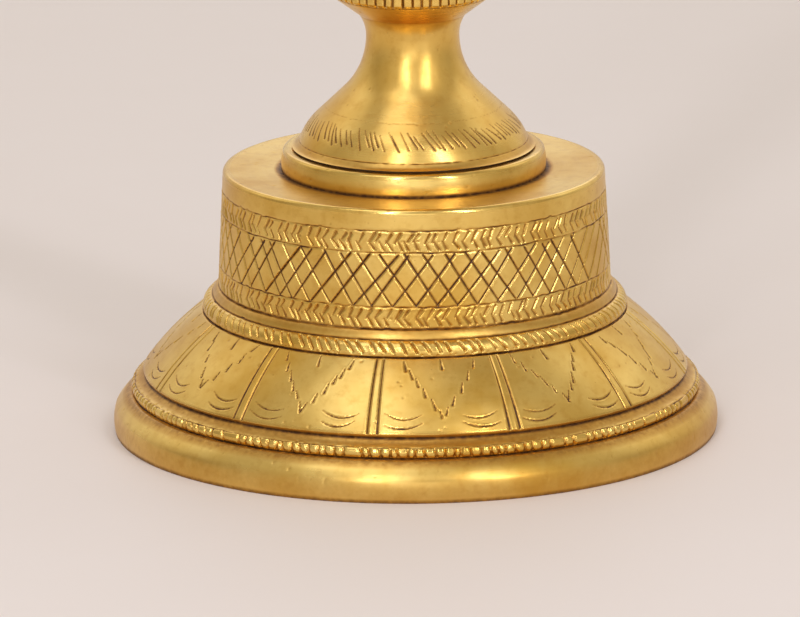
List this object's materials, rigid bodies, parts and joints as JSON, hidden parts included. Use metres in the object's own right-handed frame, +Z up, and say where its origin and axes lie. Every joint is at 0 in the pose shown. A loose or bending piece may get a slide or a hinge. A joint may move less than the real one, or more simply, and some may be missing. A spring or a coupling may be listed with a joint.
{
  "type": "standing oil lamp",
  "caption": "Standing brass oil lamp: stepped round foot with engraved drum, screwed stem, lipped oil bowl and pointed finial.",
  "frame": {"origin": "centre of the circle that the foot stands on", "axes": "+Z up along the lamp's turning axis; -Y is the front, where one lip of the bowl points"},
  "size_m": [0.15, 0.15, 0.45],
  "materials": {
    "foot_brass": "satin polished, hand engraved, brown patina in the grooves",
    "stem_brass": "satin polished, turned",
    "bowl_brass": "satin polished, turned inside",
    "finial_brass": "satin polished",
    "thread_brass": "dull, as cut",
    "washer_leather": "dark, oiled"
  },
  "bodies": {
    "foot": {"base_casting": "foot_brass", "base_nut": "thread_brass", "stem_collar": "foot_brass"},
    "stem_rise": {"stem_washer": "washer_leather"},
    "stem": {"lower_stem": "stem_brass", "stem_stud": "thread_brass", "knop": "stem_brass", "knop_stud": "thread_brass"},
    "column_rise": {"column_washer": "washer_leather"},
    "column": {"column_shaft": "stem_brass", "column_stud": "thread_brass", "upper_knop": "stem_brass", "upper_knop_stud": "thread_brass", "bowl_socket": "stem_brass", "socket_stud": "thread_brass"},
    "bowl_rise": {"bowl_washer": "washer_leather"},
    "bowl": {"oil_bowl": "bowl_brass", "bowl_stud": "thread_brass"},
    "finial_rise": {"finial_washer": "washer_leather"},
    "finial": {"finial_post": "finial_brass", "finial_stud": "thread_brass", "finial_spire": "finial_brass"}
  },
  "joints": [
    {"name": "stem_lift", "type": "slide", "parent": "foot", "child": "stem_rise", "axis": [0, 0, 1], "range_m": [0, 0.0166]},
    {"name": "stem_unscrew", "type": "hinge", "parent": "stem_rise", "child": "stem", "pos_m": [0, 0, 0.0711], "axis": [0, 0, 1], "range_deg": [0, 3960]},
    {"name": "column_lift", "type": "slide", "parent": "stem", "child": "column_rise", "axis": [0, 0, 1], "range_m": [0, 0.0121]},
    {"name": "column_unscrew", "type": "hinge", "parent": "column_rise", "child": "column", "pos_m": [0, 0, 0.162], "axis": [0, 0, 1], "range_deg": [0, 2880]},
    {"name": "bowl_lift", "type": "slide", "parent": "column", "child": "bowl_rise", "axis": [0, 0, 1], "range_m": [0, 0.0121]},
    {"name": "bowl_unscrew", "type": "hinge", "parent": "bowl_rise", "child": "bowl", "pos_m": [0, 0, 0.3355], "axis": [0, 0, 1], "range_deg": [0, 2880]},
    {"name": "finial_lift", "type": "slide", "parent": "bowl", "child": "finial_rise", "axis": [0, 0, 1], "range_m": [0, 0.0121]},
    {"name": "finial_unscrew", "type": "hinge", "parent": "finial_rise", "child": "finial", "pos_m": [0, 0, 0.34], "axis": [0, 0, 1], "range_deg": [0, 2880]}
  ],
  "couplings": [
    {"joint": "stem_lift", "follows": "stem_unscrew", "m_per_rad": 0.00023873},
    {"joint": "column_lift", "follows": "column_unscrew", "m_per_rad": 0.00023873},
    {"joint": "bowl_lift", "follows": "bowl_unscrew", "m_per_rad": 0.00023873},
    {"joint": "finial_lift", "follows": "finial_unscrew", "m_per_rad": 0.00023873}
  ]
}
